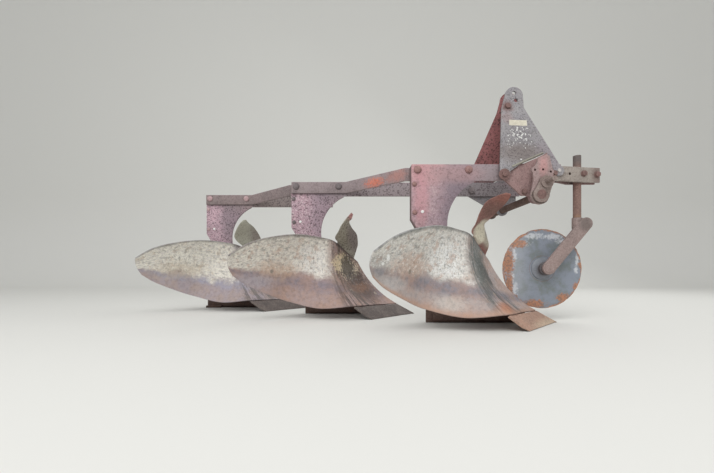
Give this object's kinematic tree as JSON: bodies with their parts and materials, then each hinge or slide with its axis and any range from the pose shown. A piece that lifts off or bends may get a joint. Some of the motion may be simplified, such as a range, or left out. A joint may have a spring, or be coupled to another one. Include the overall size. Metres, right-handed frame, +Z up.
{
  "type": "mounted moldboard plough",
  "caption": "Tractor-mounted right-hand moldboard plough with staggered bottoms, a headstock mast, a cranked cross shaft and a swivelling disc coulter.",
  "frame": {"origin": "centre of the plough's bounding box, on the ground under the shares and landsides", "axes": "+X forward in the direction of ploughing, +Y to the land side (left), +Z up"},
  "size_m": [2.3584, 1.229, 1.182],
  "materials": {
    "faded_red": "faded pinkish red paint, chalked and rusting",
    "rusty_red": "old red paint mostly rusted through",
    "bare_grey": "paint worn to grey steel with light rust",
    "dark_rust": "dark brown rust",
    "moldboard_steel": "dull steel with dried pale soil and brown rust",
    "share_steel": "rusted wearing steel",
    "trashboard_paint": "dull red paint with rust and bare patches",
    "disc_steel": "blue-grey steel with an orange rusted rim"
  },
  "bodies": {
    "frame": {"standard_1": "faded_red", "standard_2": "faded_red", "standard_3": "faded_red", "stiffener_1": "rusty_red", "stiffener_2": "rusty_red", "stiffener_3": "rusty_red", "frog_1": "dark_rust", "frog_2": "dark_rust", "frog_3": "dark_rust", "moldboard_1": "moldboard_steel", "moldboard_2": "moldboard_steel", "moldboard_3": "moldboard_steel", "share_1": "share_steel", "share_2": "share_steel", "share_3": "share_steel", "landside_1": "dark_rust", "landside_2": "dark_rust", "landside_3": "dark_rust", "trashboard_1": "trashboard_paint", "trashboard_2": "trashboard_paint", "trashboard_3": "trashboard_paint", "brace_1": "dark_rust", "brace_2": "dark_rust", "brace_3": "dark_rust", "tie_bar_front": "rusty_red", "tie_bar_rear": "rusty_red", "spacers_front": "dark_rust", "spacers_rear": "dark_rust", "cross_tube_front": "dark_rust", "cross_tube_rear": "dark_rust", "side_plate_right": "faded_red", "side_plate_left": "rusty_red", "mast_plate_right": "bare_grey", "mast_plate_left": "rusty_red", "mast_spacer": "dark_rust", "clamp_bar_near": "rusty_red", "clamp_bar_far": "rusty_red", "coulter_shank": "rusty_red"},
    "hitch_shaft": {"cross_shaft": "dark_rust", "quadrant": "faded_red", "crank": "bare_grey"},
    "coulter_yoke": {"coulter_yoke": "rusty_red"},
    "coulter_disc": {"coulter_hub": "dark_rust", "coulter_disc": "disc_steel"}
  },
  "joints": [
    {"name": "hitch_shaft_turn", "type": "hinge", "parent": "frame", "child": "hitch_shaft", "pos_m": [0.85825, 0.0265, 0.59], "axis": [0, 1, 0], "range_deg": [-18, 18]},
    {"name": "coulter_swivel", "type": "hinge", "parent": "frame", "child": "coulter_yoke", "pos_m": [1.08225, -0.12, 0.478], "axis": [0, 0, 1], "range_deg": [-20, 5]},
    {"name": "coulter_roll", "type": "hinge", "parent": "coulter_yoke", "child": "coulter_disc", "pos_m": [0.93725, -0.075, 0.257], "axis": [0, 1, 0], "continuous": true}
  ]
}
